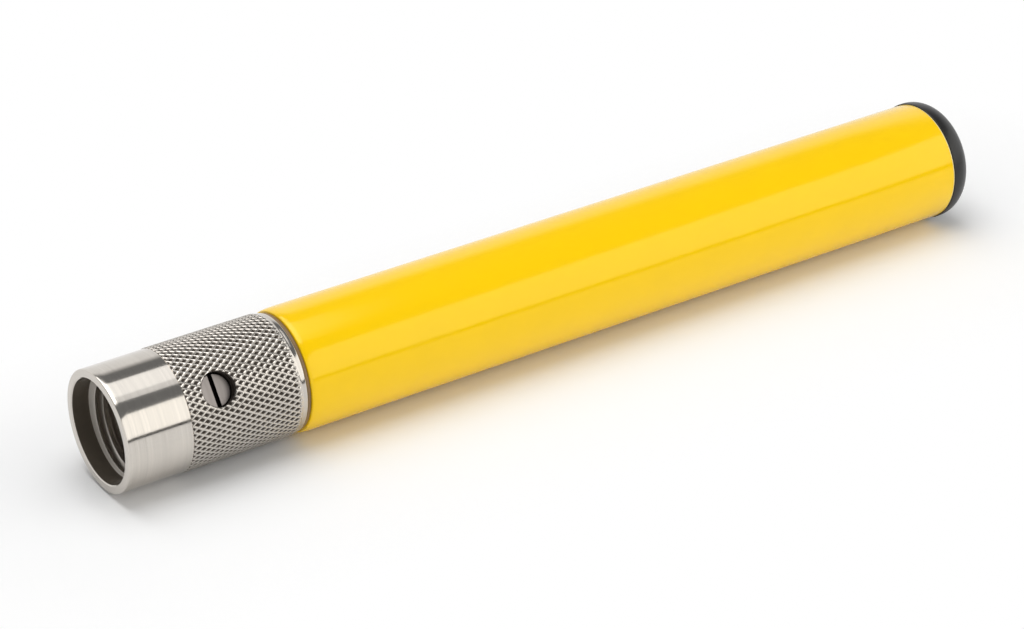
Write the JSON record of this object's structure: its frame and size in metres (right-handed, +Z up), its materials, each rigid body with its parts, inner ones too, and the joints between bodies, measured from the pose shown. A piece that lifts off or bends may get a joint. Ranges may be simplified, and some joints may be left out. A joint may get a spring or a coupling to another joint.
{
  "type": "locating probe",
  "caption": "Slim battery-powered locating probe: knurled steel collar with threaded mouth and lock screw, unscrewing from a long yellow housing with a black end cap.",
  "frame": {"origin": "middle of the mouth's face, on the probe's axis", "axes": "+X runs along the axis from the mouth to the end cap; +Z is up as the probe lies; the lock screw is on the -Y side, above the axis"},
  "size_m": [0.2678, 0.0332, 0.0332],
  "materials": {
    "collar_steel": "turned stainless steel, diamond-knurled grip",
    "neck_steel": "turned stainless steel",
    "screw_steel": "stainless steel, satin",
    "spring_steel": "nickel-plated spring wire",
    "brass": "plain brass",
    "washer_fibre": "dark brown fibre",
    "seal_rubber": "nitrile rubber",
    "tube_plastic": "glass-filled plastic, black",
    "sleeve_yellow": "glossy yellow plastic",
    "moulded_black": "moulded plastic, black",
    "cell_jacket": "plain blue shrink jacket",
    "wire_red": "red insulation",
    "board_green": "green solder mask",
    "chip_black": "moulded epoxy",
    "chip_ceramic": "ceramic with tinned ends",
    "ferrite": "fired ferrite, dark grey",
    "bright_can": "drawn aluminium can",
    "film_red": "dipped film capacitor",
    "former_cream": "moulded nylon",
    "copper_enamel": "enamelled copper wire",
    "foam_grey": "closed-cell foam",
    "cap_black": "black plastic, satin"
  },
  "bodies": {
    "collar": {"collar": "collar_steel", "spring_plate": "brass", "battery_spring": "spring_steel"},
    "lock_pad": {"lock_pad": "brass"},
    "lock_screw": {"lock_screw": "screw_steel"},
    "slip_washer": {"slip_washer": "washer_fibre"},
    "housing": {"neck_spigot": "neck_steel", "neck_o_ring": "seal_rubber", "housing_tube": "tube_plastic", "yellow_sleeve": "sleeve_yellow", "cell_cradle": "moulded_black", "front_cell": "cell_jacket", "rear_cell": "cell_jacket", "return_strip": "brass", "contact_disc": "moulded_black", "contact_button": "brass", "battery_lead": "wire_red", "board_tray": "moulded_black", "circuit_board": "board_green", "microcontroller": "chip_black", "crystal": "bright_can", "drum_inductor": "ferrite", "driver_transistors": "chip_black", "storage_capacitors": "bright_can", "tank_capacitor": "film_red", "chip_parts": "chip_ceramic", "small_screws": "screw_steel", "coil_former": "former_cream", "ferrite_rod": "ferrite", "antenna_coil": "copper_enamel", "coil_leads": "copper_enamel", "rod_cushion": "foam_grey", "end_plug": "cap_black", "plug_o_ring": "seal_rubber", "end_cap": "cap_black"}
  },
  "joints": [
    {"name": "housing_travel", "type": "slide", "parent": "collar", "child": "slip_washer", "axis": [1, 0, 0], "range_m": [0, 0.0075]},
    {"name": "housing_turn", "type": "hinge", "parent": "slip_washer", "child": "housing", "pos_m": [0.0515, 0, 0], "axis": [1, 0, 0], "range_deg": [0, 1801]},
    {"name": "lock_travel", "type": "slide", "parent": "collar", "child": "lock_pad", "axis": [0, -0.8007, 0.599], "range_m": [-0.0015, 0.0025]},
    {"name": "lock_turn", "type": "hinge", "parent": "lock_pad", "child": "lock_screw", "pos_m": [0.0271, 0, 0], "axis": [0, -0.8007, 0.599], "range_deg": [-541, 901]}
  ],
  "couplings": [
    {"joint": "housing_turn", "follows": "housing_travel", "rad_per_m": 4188.8},
    {"joint": "lock_turn", "follows": "lock_travel", "rad_per_m": 6283.2}
  ]
}
